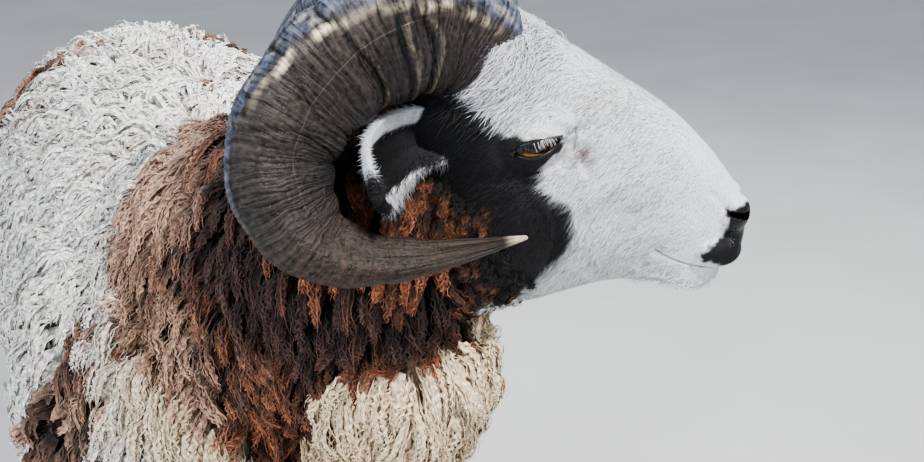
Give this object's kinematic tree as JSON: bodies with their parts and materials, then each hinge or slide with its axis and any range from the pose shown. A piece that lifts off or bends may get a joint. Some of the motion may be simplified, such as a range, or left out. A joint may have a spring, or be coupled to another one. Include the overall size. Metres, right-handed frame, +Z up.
{
  "type": "jacob sheep ram, standing",
  "caption": "Life-size still model of a horned piebald ram in full curly fleece, standing square on its hooves with the head turned to its left.",
  "frame": {"origin": "on the ground under the middle of the overall box", "axes": "+X the way the body faces, +Y to the ram's left, +Z up"},
  "size_m": [1.0944, 0.548, 0.9078],
  "materials": {
    "fleece_white": "cream-white crimped wool, matt",
    "fleece_brown": "russet and near-black crimped wool, matt",
    "face": "short white hair with black patches round the eyes and on the nose",
    "leg": "short white hair with dark patches",
    "horn": "ringed grey-brown horn with a pale ridge, satin",
    "ear": "black inside, white hair along the rim",
    "eye": "amber iris with a dark slot of a pupil, wet gloss",
    "hoof": "dark horn, satin"
  },
  "bodies": {
    "root": {"torso": "fleece_white", "neck": "fleece_brown", "tail": "fleece_white", "head": "face", "ear_right": "ear", "ear_left": "ear", "eye_right": "eye", "eye_left": "eye", "horn_right": "horn", "horn_left": "horn", "foreleg_right": "leg", "foreleg_left": "leg", "hindleg_right": "leg", "hindleg_left": "leg", "hoof_fore_right_a": "hoof", "hoof_fore_right_b": "hoof", "hoof_fore_left_a": "hoof", "hoof_fore_left_b": "hoof", "hoof_hind_right_a": "hoof", "hoof_hind_right_b": "hoof", "hoof_hind_left_a": "hoof", "hoof_hind_left_b": "hoof"}
  },
  "joints": []
}
